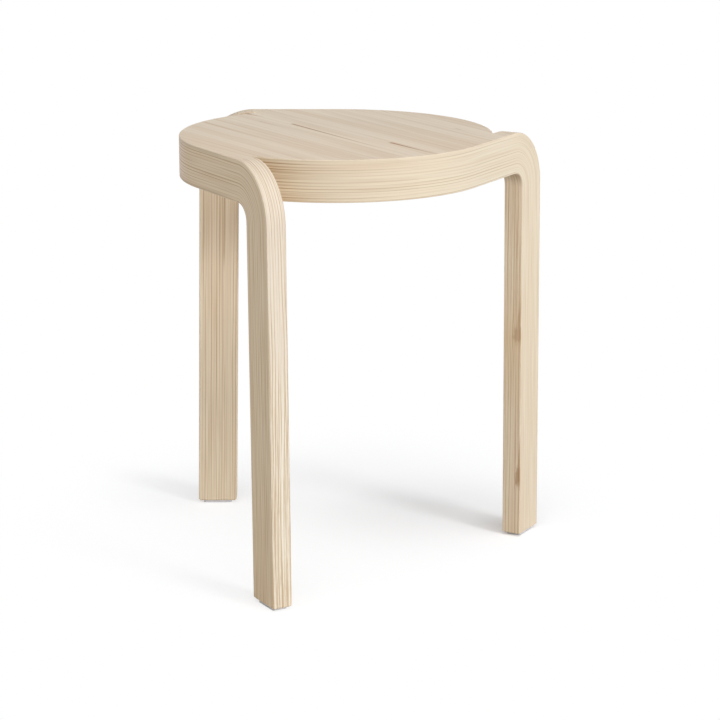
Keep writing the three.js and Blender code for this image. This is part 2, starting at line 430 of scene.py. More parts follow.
def ring_solid(name, outline, rows):
    """A closed piece from an outline that is repeated at each row and capped at both ends.
    A row is its inset, its height and how much it belongs to the edge: 1 on an edge, 0 on a face."""
    solid = bmesh.new()
    grain = solid.loops.layers.float_vector.new("grain")
    edge = solid.loops.layers.float.new("edge")
    rings = []
    for inset, height, _ in rows:
        spans = outline(inset, height)
        corners = [point for span in spans for point in span[:-1]]
        rings.append([solid.verts.new((x, y, height)) for x, y, _ in corners])
    spans = outline(rows[0][0], rows[0][1])
    lengths = [(start[2], end[2]) for span in spans for start, end in zip(span, span[1:])]
    count = len(lengths)
    for row, (low, high) in enumerate(zip(rings, rings[1:])):
        for i, (start, end) in enumerate(lengths):
            after = (i + 1) % count
            face = solid.faces.new((low[i], low[after], high[after], high[i]))
            for loop, along, level in zip(face.loops, (start, end, end, start), (row, row, row + 1, row + 1)):
                depth = SEAT_CENTRE.z - rows[level][1]
                loop[grain] = (along, 0.0, depth)
                loop[edge] = rows[level][2]
    solid.faces.new(list(reversed(rings[0])))
    solid.faces.new(rings[-1])
    mesh = bpy.data.meshes.new(name)
    solid.to_mesh(mesh)
    solid.free()
    return added(name, mesh)


def rounding_row(start, rise, turn):
    """One row of a rounded edge that starts at a height and rises or falls by its radius."""
    return abs(rise) * (1 - math.cos(turn)), start + rise * math.sin(turn), math.cos(turn) ** 2


def rounded_rows(bottom, top, rounding, round_bottom=True, round_top=True):
    """Rows of a plate whose outer edges are rounded below, above or both."""
    turns = [i / ROUNDING_STEPS * math.pi / 2 for i in range(ROUNDING_STEPS + 1)]
    low = [rounding_row(bottom + rounding, -rounding, turn) for turn in reversed(turns)]
    high = [rounding_row(top - rounding, rounding, turn) for turn in turns]
    return (low if round_bottom else [(0.0, bottom, 1.0)]) + (high if round_top else [(0.0, top, 1.0)])


def settle(piece):
    """The mesh that the piece's modifiers make becomes its own mesh."""
    depsgraph = bpy.context.evaluated_depsgraph_get()
    evaluated = piece.evaluated_get(depsgraph)
    mesh = bpy.data.meshes.new_from_object(evaluated, preserve_all_data_layers=True, depsgraph=depsgraph)
    piece.modifiers.clear()
    piece.data = mesh
    mesh.name = piece.name
    return piece


def cut_away(piece, name, outline, rows, along=0.0):
    """Cuts a hollow out of a piece, in the shape of an outline and its rows."""
    cutter = ring_solid(name, outline, rows)
    cutter.location.x = along
    cut = piece.modifiers.new(name, "BOOLEAN")
    cut.object = cutter
    cut.solver = "EXACT"
    bpy.context.view_layer.update()
    settle(piece)
    bpy.data.objects.remove(cutter)


def smooth(piece):
    """Round faces shade smoothly, flat ones stay flat, and corners stay crisp."""
    mesh = piece.data
    solid = bmesh.new()
    solid.from_mesh(mesh)
    bmesh.ops.recalc_face_normals(solid, faces=solid.faces)
    solid.to_mesh(mesh)
    solid.free()
    mesh.shade_smooth()
    mesh.set_sharp_from_angle(angle=SHARP_ANGLE)
    piece.modifiers.new("weighted_normals", "WEIGHTED_NORMAL").keep_sharp = True
    settle(piece)


def finished(piece, nodes):
    """Smooths a piece, which rides on the stool and stands for its CAD nodes."""
    smooth(piece)
    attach(piece, "root")
    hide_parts(*nodes)


# The socket that takes each type of value
SOCKET_TYPES = {
    float: "NodeSocketFloat",
    int: "NodeSocketInt",
    tuple: "NodeSocketVector",
    bpy.types.Object: "NodeSocketObject",
    bpy.types.Material: "NodeSocketMaterial",
}


def form_tree(name, values):
    """A Geometry Nodes tree with a named input for each of the values, and their sockets."""
    tree = bpy.data.node_groups.new(name, "GeometryNodeTree")
    for title, value in values.items():
        tree.interface.new_socket(title, in_out="INPUT", socket_type=SOCKET_TYPES[type(value)])
    tree.interface.new_socket("Geometry", in_out="OUTPUT", socket_type="NodeSocketGeometry")
    graph = Graph(tree)
    entry = tree.nodes.new("NodeGroupInput")
    given = {title.lower().replace(" ", "_"): Socket(graph, entry.outputs[title]) for title in values}
    return graph, SimpleNamespace(**given)


def at_leg(graph, geometry, given):
    """The geometry turned the way of its leg, and moved to the seat's axis."""
    turn = graph.vector(0, 0, given.turn)
    values = {"Geometry": geometry, "Translation": given.axis, "Rotation": turn}
    return graph.node("GeometryNodeTransform", values)


def stored(graph, geometry, name, kind, value):
    """The geometry with a value kept on its points."""
    values = {"Geometry": geometry, "Name": name, "Value": value}
    return graph.node("GeometryNodeStoreNamedAttribute", values, data_type=kind)


def close_tree(graph, geometry, material):
    """A tree ends in real geometry with its material."""
    real = graph.node("GeometryNodeRealizeInstances", {"Geometry": geometry})
    painted = graph.node("GeometryNodeSetMaterial", {"Geometry": real, "Material": material})
    graph.node("NodeGroupOutput", {"Geometry": painted})
    return graph.tree


def grown(name, tree, values):
    """A piece whose mesh is what a tree makes of the values."""
    piece = added(name, bpy.data.meshes.new(name))
    modifier = piece.modifiers.new(tree.name, "NODES")
    modifier.node_group = tree
    identifiers = {item.name: item.identifier for item in tree.interface.items_tree if item.in_out == "INPUT"}
    for title, value in values.items():
        modifier[identifiers[title]] = value
    return settle(piece)


def captured(graph, geometry, field):
    """The geometry with a field kept on it, and the kept field."""
    node = graph.tree.nodes.new("GeometryNodeCaptureAttribute")
    node.capture_items.new("INT", "Index")
    graph.fill(node, {"Geometry": geometry, "Index": field})
    return Socket(graph, node.outputs["Geometry"]), Socket(graph, node.outputs["Index"])


def leg_tree(values):
    """The tree that presses a leg. A bar's rings are bent over the mould, and the arm is rebated for the
    face plies and milled to the seat's circle, where it runs out in a feather."""
    graph, given = form_tree("pressed_leg", values)
    bend_first = given.arm_steps + 1
    bend_last = bend_first + given.bend_steps
    upright_last = bend_last + given.upright_steps
    corner_points = given.corner_steps + 1

    # The bar: one ring for each step, and in each ring the points of four corners
    index = graph.node("GeometryNodeInputIndex")
    bar = graph.node("GeometryNodeCurvePrimitiveLine", {"End": (0, 0, 1)})
    bar = graph.node("GeometryNodeResampleCurve", {"Curve": bar, "Count": upright_last + 2})
    section = {"Resolution": corner_points * 4, "Radius": 1}
    section = graph.node("GeometryNodeCurvePrimitiveCircle", section)
    bar, ring = captured(graph, bar, index)
    section, point = captured(graph, section, index)
    sweep = {"Curve": bar, "Profile Curve": section, "Fill Caps": True}
    mesh = graph.node("GeometryNodeCurveToMesh", sweep)

    # How far along each ring lies
    arm_share = (ring / given.arm_steps).least(1)
    bend_share = ring.within(bend_first, bend_last)
    upright_share = ring.within(bend_last, upright_last)
    foot_share = ring.within(upright_last, upright_last + 1)
    in_arm = ring < given.arm_steps + 0.5

    # Where each point lies in its corner of the section
    quarter = (point / corner_points).one("FLOOR")
    step = point - quarter * corner_points
    facing = (quarter + step / given.corner_steps) * (math.pi / 2)
    middle = quarter * (math.pi / 2) + math.pi / 4
    radius = given.edge_radius * (1 - in_arm)
    chamfer = given.foot_chamfer * foot_share
    half_width = given.leg_width / 2 - chamfer - radius
    half_depth = given.thickness / 2 - chamfer - radius - given.ply * in_arm
    outward = middle.one("COSINE").one("SIGN") * half_width + radius * facing.one("COSINE")
    upward = middle.one("SINE").one("SIGN") * half_depth + radius * facing.one("SINE")

    # The bend over the mould, and the straight leg under it, cut level at the foot
    arm_side = given.seat_radius - given.leg_width
    half_chord = (given.seat_radius * given.seat_radius - arm_side * arm_side) ** 0.5
    mould_radius = given.inner_bend_radius + given.thickness / 2
    lean = given.lean
    arm_along = given.bend_start - (given.bend_start + half_chord) * (1 - arm_share)
    turned = bend_share * (math.pi / 2 - lean)
    reach = mould_radius + upward
    drop = (given.bend_height + reach * lean.one("SINE") - given.foot_height) / lean.one("COSINE")
    down = (drop - given.foot_chamfer) * upright_share + chamfer
    x = arm_along + reach * turned.one("SINE") + down * lean.one("SINE")
    z = given.bend_height + reach * turned.one("COSINE") - down * lean.one("COSINE")
    along = arm_along + mould_radius * turned + down

    # The arm is milled to the seat's circle
    across = arm_side + given.leg_width / 2 + outward
    behind = arm_along.least(0)
    circle = (given.seat_radius**2 - behind * behind).most(arm_side * arm_side) ** 0.5
    milled = arm_side + (across - arm_side) * (circle - arm_side) / given.leg_width

    grain = graph.vector(along + given.pattern_shift, across, given.thickness / 2 - upward)
    edge = (facing.one("COSINE") ** 2).most(in_arm)
    mesh = stored(graph, mesh, "grain", "FLOAT_VECTOR", grain)
    mesh = stored(graph, mesh, "edge", "FLOAT", edge)
    place = graph.vector(x, 0 - milled, z)
    mesh = graph.node("GeometryNodeSetPosition", {"Geometry": mesh, "Position": place})
    mesh = {"Geometry": at_leg(graph, mesh, given), "Distance": MERGE_DISTANCE}
    mesh = graph.node("GeometryNodeMergeByDistance", mesh)
    return close_tree(graph, mesh, given.material)


def row_tree(values):
    """The tree that sets copies of a piece in a row along one leg."""
    graph, given = form_tree("row_along_leg", values)
    index = graph.node("GeometryNodeInputIndex")
    offset = (index - (given.count - 1) / 2) * given.pitch
    line = graph.node("GeometryNodeMeshLine", {"Count": given.count})
    place = graph.node("ShaderNodeVectorMath", {0: graph.vector(offset, 0, 0), 1: given.middle})
    line = graph.node("GeometryNodeSetPosition", {"Geometry": line, "Position": place})
    piece = graph.node("GeometryNodeObjectInfo", {"Object": given.piece}, output="Geometry")
    row = graph.node("GeometryNodeInstanceOnPoints", {"Points": line, "Instance": piece})
    return close_tree(graph, at_leg(graph, row, given), given.material)


def shader_graph(name):
    """A new material, its graph and its principled shader."""
    material = bpy.data.materials.new(name)
    material.use_nodes = True
    return material, Graph(material.node_tree), material.node_tree.nodes["Principled BSDF"]


# The laminate's dark lines, in shares of their pitch: how far they sway, and from where to where they fade
LINE_SWAY = 0.9
LINE_FADE = (0.05, 0.2)
# How strong the faintest of them is, and the depths between which they set in
FAINTEST_LINE = 0.3
LINES_SET_IN = (0.0012, 0.003)
# How far the year rings of a sawn face drift, in shares of their spacing
RING_DRIFT = 3.2
# The relief of the pine, the sheen of its lacquer and how much rougher its latewood is
PINE_RELIEF = {"Strength": 0.25, "Distance": 0.0002}
LACQUER_SHEEN = 0.25
LATEWOOD_ROUGHNESS = 0.12
# The depths between which a leg's inner face begins
INNER_FACE = (0.030, 0.038)
# Where along a leg its bend ends, and where the grain of its face grows to its full strength
BEND_END = (0.13, 0.2)
GRAIN_GROWTH = (0.15, 0.5)
# The levels between which the seat's dark streaks set in, counted from the seat's top
STREAK_LEVELS = (-0.02, -0.01)


def laminate_edge(graph, along, depth, finish, lines, streaks):
    """The edge of the laminate: thin dark lines where its layers meet, and the fine streaks of their grain.
    Gives how much of the lines and how much latewood shows."""
    sway = graph.noise(along / 0.18, depth / 0.011, 0.0, detail=1.0) - 0.5
    place = (depth - finish.first_line) / finish.line_pitch + sway * LINE_SWAY
    number = place.one("ROUND")
    beside = abs(place - number)
    strength = graph.noise(along / 0.25, number * 3.7, 1.5, detail=1.0).rise(0.4, 0.6)
    line = (1 - beside.rise(*LINE_FADE)) * (FAINTEST_LINE + (1 - FAINTEST_LINE) * strength)
    line = line * depth.rise(*LINES_SET_IN)
    broad = graph.noise(along / 0.25, depth / 0.0042, 4.0, detail=1.0).rise(0.35, 0.7)
    fine = graph.noise(along / 0.12, depth / 0.001, 5.0, detail=1.5).rise(0.42, 0.66)
    fibres = graph.noise(along / 0.04, depth / 0.0005, 7.0) - 0.5
    latewood = (fine * 0.7 + broad * 0.05 + fibres * 0.75) * streaks
    return line * lines, latewood.most(0)


def sawn_face(graph, along, across, seed, spacing, contrast):
    """A flat-sawn face: year rings as long lines that drift across it, and fine fibres.
    Gives how much latewood shows."""
    drift = graph.noise(along / 0.2, across / 0.045, seed, detail=1.5) - 0.5
    rings = across / spacing + drift * RING_DRIFT
    number = rings.one("FLOOR")
    share_on = rings - number
    strength = graph.noise(along / 0.22, number * 4.1, seed + 3.0, detail=1.0).rise(0.34, 0.66)
    line = share_on.rise(0.5, 0.85) * (1 - share_on.rise(0.88, 0.96))
    broad = graph.noise(along / 0.3, across / 0.009, seed + 4.0, detail=1.0).rise(0.4, 0.75)
    fine = graph.noise(along / 0.12, across / 0.0011, seed + 6.0, detail=1.5).rise(0.48, 0.66)
    fibres = graph.noise(along / 0.012, across / 0.0008, seed + 5.0) - 0.5
    return ((line * (0.3 + 0.8 * strength) + broad * 0.1 + fine * 0.6 + fibres * 0.6) * contrast).most(0)


def pine_material(name, finish, look):
    """Lacquered pine. The edge attribute says where the layers show, and the look says how strongly they do
    on the arm and below the bend, and what face grain the rest has."""
    material, graph, shader = shader_graph(name)
    grain = graph.node("ShaderNodeAttribute", output="Vector", attribute_name="grain")
    edge = graph.node("ShaderNodeAttribute", output="Fac", attribute_name="edge")
    along, across, depth = graph.parts(grain)
    local = along - (along / PATTERN_SHIFT + 0.5).one("FLOOR") * PATTERN_SHIFT
    grain = (along, across, depth, local)
    below = local.rise(*look.fade)
    lines = look.arm_lines + (look.leg_lines - look.arm_lines) * below
    streaks = look.arm_streaks + (look.leg_streaks - look.arm_streaks) * below
    line, edge_latewood = laminate_edge(graph, along, depth, finish, lines, streaks)
    face_latewood, marks = look.face(graph, grain)
    marks = marks * (1 - edge)
    latewood = face_latewood + (edge_latewood - face_latewood) * edge
    blush = graph.noise(along / 0.4, depth / 0.006, across * (1 - edge) / 0.01, detail=1.0)
    tint = graph.blend(blush.rise(0.4, 0.7) * 0.5, finish.earlywood, finish.blush)
    tint = graph.blend(latewood, tint, finish.latewood)
    tint = graph.blend(line * edge, tint, finish.glue_line)
    for place, start, end, width, strength in look.cracks:
        dark = (1 - abs(depth - place).rise(width * 0.3, width)) * strength
        dark = dark * local.rise(start, start + CRACK_FADE) * (1 - local.rise(end - CRACK_FADE, end))
        marks = marks.most(dark * edge)
    tint = graph.blend(marks, tint, finish.heart)
    # The tones multiply the colour with the wood's own hue and with painted light and shade
    edge_tone, face_tone = look.tones(graph, grain)
    tint = graph.blend(1.0, tint, graph.blend(edge, face_tone, edge_tone), "MULTIPLY")
    relief = graph.node("ShaderNodeBump", {**PINE_RELIEF, "Height": latewood * -1})
    values = {
        "Base Color": tint,
        "Roughness": finish.roughness + latewood * LATEWOOD_ROUGHNESS,
        "Normal": relief,
        "Specular IOR Level": LACQUER_SHEEN,
    }
    graph.fill(shader, values)
    return material


def mark_along(x, y, start, end, width):
    """A dark streak from one point to another: dark where it starts, thinner and fainter to its end."""
    run = Vector(end) - Vector(start)
    length = run.length
    direction = run / length
    ahead = (x - start[0]) * direction.x + (y - start[1]) * direction.y
    beside = abs((y - start[1]) * direction.x - (x - start[0]) * direction.y)
    share_on = ahead.within(0, length)
    fade = ahead.rise(-0.003, 0.003) * (1 - share_on.rise(0.2, 1.0) * 0.7) * (1 - share_on.rise(0.9, 1.0))
    return (1 - (beside / (1.3 - share_on)).rise(width * 0.15, width)) * fade


# Dark streaks on the seat, in metres from its axis: start, end, width and strength. All but the third are
# pith streaks
SEAT_MARKS = (
    ((-0.0464, 0.0587), (0.0460, -0.0940), 0.0021, 0.9),
    ((0.0543, -0.0587), (0.1040, -0.1357), 0.0024, 0.95),
    # The third is a dark stroke on the top, by the rear arm's notch
    ((-0.1000, 0.1290), (-0.0760, 0.1040), 0.0028, 0.7),
    ((-0.0805, 0.0754), (-0.0477, 0.0259), 0.0014, 0.3),
    ((0.0463, 0.1546), (0.0588, 0.1230), 0.0022, 0.3),
    ((0.1226, 0.0290), (0.1369, 0.0033), 0.0018, 0.3),
    ((-0.1378, 0.0688), (-0.0744, -0.0341), 0.0018, 0.22),
)
SEAT_GRAIN_TURN = math.radians(-58)


def seat_face(graph, grain):
    """The face of a seat ply: one sheet whose grain runs one way, in broad soft bands with dark streaks."""
    x, y, z = graph.place()
    x = x - SEAT_CENTRE.x
    y = y - SEAT_CENTRE.y
    ahead = x * math.cos(SEAT_GRAIN_TURN) + y * math.sin(SEAT_GRAIN_TURN)
    beside = y * math.cos(SEAT_GRAIN_TURN) - x * math.sin(SEAT_GRAIN_TURN)
    bands = graph.noise(ahead / 0.3, beside / 0.016, z * 30, detail=1.5).rise(0.36, 0.66)
    lines = sawn_face(graph, ahead / 2, beside, z * 30 + 2.0, 0.0085, 0.2)
    marks = 0.0
    for start, end, width, strength in SEAT_MARKS:
        marks = mark_along(x, y, start, end, width) * strength + marks
    on_top = z.rise(*[SEAT_CENTRE.z + level for level in STREAK_LEVELS])
    return bands * 0.24 + lines, marks * on_top


def leg_face(spacing, contrast, top_contrast, knots=(), bend_contrast=0.0):
    """The outer and inner faces of a leg. The grain grows stronger below the bend, and runs round any
    knots. A knot has a dark heart, and a tail where the grain closes behind it."""

    def face(graph, grain):
        along, across, depth, local = grain
        marks = depth * 0
        bent = across
        for knot_along, knot_across, length, width, slant, depth_of_tone in knots:
            ahead = (local - knot_along) / length
            beside = (across - knot_across + (local - knot_along) * slant) / width
            distance = (ahead * ahead + beside * beside) ** 0.5
            bent = bent - (across - knot_across) * 0.45 / (1 + distance * distance)
            ragged = graph.noise(along / 0.007, across / 0.0018, 2.0) - 0.5
            heart = 1 - (distance + ragged * 1.1).rise(0.35, 1.1)
            tail = (1 - abs(ahead).rise(1.6, 4.0)) * (1 - abs(beside).rise(0.1, 0.4))
            tail = tail * (ahead < 0)
            marks = marks.most(heart.most(tail * 0.8) * depth.rise(*INNER_FACE) * depth_of_tone)
        strength = top_contrast + (contrast - top_contrast) * local.rise(*GRAIN_GROWTH)
        strength = strength + bend_contrast * (1 - local.rise(*BEND_END))
        return sawn_face(graph, along, bent, depth * 100, spacing, strength), marks

    return face


# The tone that leaves a colour as it is
PLAIN = (1.0, 1.0, 1.0)


def pine_look(arm, leg, fade, face, tones, cracks=()):
    """How strongly the lines and the streaks of the laminate show before and after they fade, its face
    grain, the tones of its edge and face, and the dark cracks in its edge."""
    values = {"fade": fade, "face": face, "tones": tones, "cracks": cracks}
    values["arm_lines"], values["arm_streaks"] = arm
    values["leg_lines"], values["leg_streaks"] = leg
    return SimpleNamespace(**values)


def tone_along(graph, local, stops):
    """A colour that changes from stop to stop along a laminate."""
    place, tone = stops[0]
    for next_place, next_tone in stops[1:]:
        tone = graph.blend(local.within(place, next_place), tone, next_tone)
        place = next_place
    return tone


def leg_tones(leg, notch_shade=PLAIN):
    """The tones of a leg: on its edge they go on from the seat's, and on its face they start as the seat's.
    The arm's inner side has painted shade where the notch begins, and so has the hollow of the bend."""

    def tones(graph, grain):
        _, across, depth, local = grain
        edge_tone = tone_along(graph, local, EDGE_TONES_AND_LIGHT[leg])
        # Painted shade on the arm's inner side where the notch begins
        notch = (1 - across.rise(*NOTCH_SIDE)) * local.rise(*NOTCH_START) * (1 - local.rise(*NOTCH_END))
        edge_tone = graph.blend(notch, edge_tone, notch_shade)
        # Painted shade in the hollow of the bend
        hollow = depth.rise(*INNER_FACE) * local.rise(*HOLLOW_START) * (1 - local.rise(*HOLLOW_END))
        return edge_tone, graph.blend(hollow, tone_along(graph, local, FACE_TONES_AND_LIGHT[leg]), HOLLOW_SHADE)

    return tones


def seat_tones(edge_tones):
    """The tones of the seat. Its round edge is one stretch of each leg's laminate after the other, and its
    face is painted lighter toward the front.
    """

    def tones(graph, grain):
        along, _, _, local = grain
        number = (along / PATTERN_SHIFT).one("ROUND")
        edge_tone = PLAIN
        for leg, stops in enumerate(edge_tones):
            here = abs(number - leg) < 0.5
            edge_tone = graph.blend(here, edge_tone, tone_along(graph, local, stops))
        # Painted light on the seat's face: darker at the back, lighter at the front
        _, y, _ = graph.place()
        return edge_tone, graph.blend((SEAT_CENTRE.y - y).rise(*SEAT_REACH), BACK_TONE_AND_LIGHT, FRONT_TONE_AND_LIGHT)

    return tones


def plastic_material(name, base):
    """Matt moulded plastic with a faint mottle."""
    material, graph, shader = shader_graph(name)
    mottle = graph.spots(0.004, 0.004, 0.004)
    grit = graph.spots(0.0003, 0.0003, 0.0003)
    tint = graph.blend(mottle, base, [value * 0.88 for value in base])
    bump = graph.node("ShaderNodeBump", {"Strength": 0.3, "Distance": 0.00004, "Height": grit})
    graph.fill(shader, {"Base Color": tint, "Roughness": 0.42 + mottle * 0.16, "Normal": bump})
    return material


def steel_material(name, dark, light):
    """Zinc-plated steel, a little blotched."""
    material, graph, shader = shader_graph(name)
    blotch = graph.spots(0.0012, 0.0012, 0.0012)
    tint = graph.blend(blotch, dark, light)
    graph.fill(shader, {"Base Color": tint, "Roughness": 0.28 + blotch * 0.2, "Metallic": 1.0})
    return material


def beech_material(name, base, fleck):
    """Bare beech with its short flecks, running along each dowel."""
    material, graph, shader = shader_graph(name)
    flecks = graph.spots(0.003, 0.003, 0.0006).rise(0.5, 0.75)
    graph.fill(shader, {"Base Color": graph.blend(flecks, base, fleck), "Roughness": 0.7 + flecks * 0.1})
    return material


# How the laminate shows: its lines and its streaks before and after they fade, and where they do
SEAT_EDGE = ((1.1, 0.75), (0.44, 0.37), (-0.25, -0.16))
BEND_FADE = (0.1, 0.165)
EARLY_FADE = (0.06, 0.13)
# A knot: its place along and across, its length, width, slant and depth of tone
LEG_KNOTS = ((0.307, 0.1556, 0.0115, 0.0066, 0.09, 0.44), (0.462, 0.1577, 0.0160, 0.0049, 0.06, 0.68))
# Dark cracks in the rear leg's edge: depth, where each starts and ends along the leg, width and strength
REAR_CRACKS = ((0.0270, 0.145, 0.27, 0.0006, 0.85), (0.0052, 0.15, 0.25, 0.0004, 0.4))
CRACK_FADE = 0.03
# Tones that multiply the colours of the wood, where the faces of seat and legs meet. With the wood's own hue
# they hold painted light: the seat's face is painted darker at the back and lighter at the front
BACK_TONE_AND_LIGHT = (0.947, 0.953, 0.995)
SIDE_TONE_AND_LIGHT = (0.972, 0.973, 1.01)
FRONT_TONE_AND_LIGHT = (1.005, 1.0, 1.03)
# How far in front of the seat's axis its painted back shade ends and its painted front light begins
SEAT_REACH = (-0.08, 0.12)
# The inner side of an arm where the notch begins has painted shade: its shade, its place across, and where it
# sets in and ends
NOTCH_SHADE = (0.86, 0.83, 0.81)
NOTCH_SIDE = (0.1405, 0.142)
NOTCH_START = (0.055, 0.08)
NOTCH_END = (0.115, 0.15)
# The hollow of the bend has painted shade, darker than the leg under it: its shade, and where it sets in and
# ends
HOLLOW_SHADE = (0.62, 0.58, 0.52)
HOLLOW_START = (0.09, 0.115)
HOLLOW_END = (0.112, 0.15)
# The tones of each leg's edge, by their place along its laminate. With the wood's own hue they hold painted
# light and shade: a painted sheen on the seat's left edge, painted shade where its front edge starts, and
# each leg painted lighter under the bend and darker toward the foot
EDGE_TONES_AND_LIGHT = (
    (
        (-0.07, (1.18, 1.15, 1.28)), (-0.02, (1.03, 0.98, 0.92)), (0.32, (1.04, 1.01, 0.95)),
        (0.5, (0.99, 0.94, 0.85)),
    ),
    (
        (-0.25, (0.9, 0.85, 0.77)), (-0.2, (0.97, 0.95, 0.92)), (-0.12, (0.99, 0.985, 0.97)),
        (0.0, (1.04, 1.065, 1.09)), (0.23, (1.04, 1.055, 1.065)), (0.5, (0.96, 0.95, 0.95)),
    ),
    (
        (0.09, PLAIN), (0.15, (1.18, 1.15, 1.11)), (0.26, (1.14, 1.11, 1.08)),
        (0.32, (0.98, 0.96, 0.93)), (0.41, (0.9, 0.885, 0.86)), (0.5, (0.96, 0.945, 0.91)),
    ),
)
# The face plies' own edges, with painted shade that makes them darker on the shaded side
PLY_EDGE_TONES_AND_SHADE = (
    (
        (-0.07, (1.02, 0.99, 1.05)), (-0.02, (0.88, 0.83, 0.77)), (0.04, (0.9, 0.86, 0.8)),
        (0.085, (1.03, 0.98, 0.92)),
    ),
    *EDGE_TONES_AND_LIGHT[1:],
)
# The tones of each leg's face, which start with the seat's. They hold the wood's own hue and painted light
# and shade
FACE_TONES_AND_LIGHT = (
    (
        (0.085, FRONT_TONE_AND_LIGHT), (0.13, (1.0, 1.02, 1.09)), (0.25, (1.0, 1.03, 1.09)),
        (0.41, (1.04, 1.1, 1.18)), (0.5, (1.02, 1.07, 1.13)),
    ),
    (
        (0.085, SIDE_TONE_AND_LIGHT), (0.13, (1.05, 1.03, 1.01)), (0.23, (1.06, 1.06, 1.05)),
        (0.31, (0.965, 0.885, 0.78)), (0.41, (0.98, 0.955, 0.92)), (0.5, (0.965, 0.925, 0.87)),
    ),
    ((0.085, BACK_TONE_AND_LIGHT), (0.13, PLAIN)),
)
FRONT_FACE = leg_face(0.0031, 1.85, 0.45, bend_contrast=0.5)
KNOTTY_FACE = leg_face(0.0033, 0.75, 1.05, LEG_KNOTS, -0.45)
REAR_FACE = leg_face(0.0036, 0.9, 0.9)
LEG_LOOKS = (
    pine_look((0.7, 0.5), (0.3, 0.95), BEND_FADE, FRONT_FACE, leg_tones(0)),
    pine_look((0.40, 0.32), (0.1, 0.6), EARLY_FADE, KNOTTY_FACE, leg_tones(1)),
    pine_look((0.8, 0.6), (0.62, 0.62), BEND_FADE, REAR_FACE, leg_tones(2, NOTCH_SHADE), REAR_CRACKS),
)
# The colours of the smaller pieces
GREY_PLASTIC = (0.74, 0.73, 0.76)
ZINC_STEEL = ((0.62, 0.63, 0.64), (0.75, 0.76, 0.77))
BEECH = ((0.62, 0.43, 0.25), (0.42, 0.25, 0.13))


class STOOL_OT_face_plies(Operator):
    """Make the one-piece plies over and under the seat"""

    bl_idname = "stool.face_plies"
    bl_label = "Face plies"

    def execute(self, context):
        sizes = context.scene.stool_sizes
        ply_look = pine_look(*SEAT_EDGE, seat_face, seat_tones(PLY_EDGE_TONES_AND_SHADE))
        pine = pine_material("pine_seat_faces", context.scene.stool_pine, ply_look)
        plies = (
            ("top_face_ply", SEAT_CENTRE.z - sizes.ply, False, True, "seat_top_ply"),
            ("bottom_face_ply", plan(sizes).underside, True, False, "seat_bottom_ply"),
        )
        for name, bottom, round_bottom, round_top, node in plies:
            rows = rounded_rows(bottom, bottom + sizes.ply, sizes.edge_rounding, round_bottom, round_top)
            piece = ring_solid(name, pinwheel_outline(sizes), rows)
            piece.data.materials.append(pine)
            finished(piece, [node])
        return {"FINISHED"}


class STOOL_OT_seat_core(Operator):
    """Make the laminated core of the seat"""

    bl_idname = "stool.seat_core"
    bl_label = "Seat core"

    def execute(self, context):
        sizes = context.scene.stool_sizes
        core_look = pine_look(*SEAT_EDGE, leg_face(0.004, 0.5, 0.5), seat_tones(EDGE_TONES_AND_LIGHT))
        pine = pine_material("pine_core", context.scene.stool_pine, core_look)
        bottom = plan(sizes).underside + sizes.ply
        top = SEAT_CENTRE.z - sizes.ply
        piece = ring_solid("laminated_core", core_outline(sizes), [(0.0, bottom, 1.0), (0.0, top, 1.0)])
        piece.data.materials.append(pine)
        finished(piece, ["seat_core"])
        return {"FINISHED"}


class STOOL_OT_legs(Operator):
    """Press the three L-shaped legs"""

    bl_idname = "stool.legs"
    bl_label = "Legs"

    def execute(self, context):
        sizes = context.scene.stool_sizes
        places = plan(sizes)
        tree = None
        for leg, leg_look in enumerate(LEG_LOOKS):
            pine = pine_material(f"pine_leg_{leg + 1}", context.scene.stool_pine, leg_look)
            values = {
                "Seat Radius": sizes.seat_radius,
                "Leg Width": sizes.leg_width,
                "Thickness": sizes.laminate,
                "Ply": sizes.ply,
                "Inner Bend Radius": sizes.inner_bend_radius,
                "Bend Start": places.bend_start,
                "Bend Height": places.bend_height,
                "Lean": sizes.leg_lean,
                "Foot Height": extent("glide_3").z,
                "Foot Chamfer": sizes.foot_chamfer,
                "Edge Radius": sizes.edge_rounding,
                "Arm Steps": ARM_STEPS,
                "Bend Steps": BEND_STEPS,
                "Upright Steps": UPRIGHT_STEPS,
                "Corner Steps": ROUNDING_STEPS,
                "Turn": leg_turn(leg),
                "Axis": SEAT_AXIS,
                "Pattern Shift": leg * PATTERN_SHIFT,
                "Material": pine,
            }
            tree = tree or leg_tree(values)
            finished(grown(f"pressed_leg_{leg + 1}", tree, values), [f"leg_{leg + 1}"])
        return {"FINISHED"}


def set_in_rows(name, master, count, pitch, middle, node, material):
    """One piece for each leg, made of copies of a master, which is then removed."""
    tree = None
    for leg in range(LEG_COUNT):
        values = {
            "Piece": master,
            "Count": count,
            "Pitch": pitch,
            "Middle": middle,
            "Turn": leg_turn(leg),
            "Axis": SEAT_AXIS,
            "Material": material,
        }
        tree = tree or row_tree(values)
        nodes = [node.format(leg + 1, number + 1) for number in range(count)]
        finished(grown(f"{name}_{leg + 1}", tree, values), nodes)
    bpy.data.objects.remove(master)


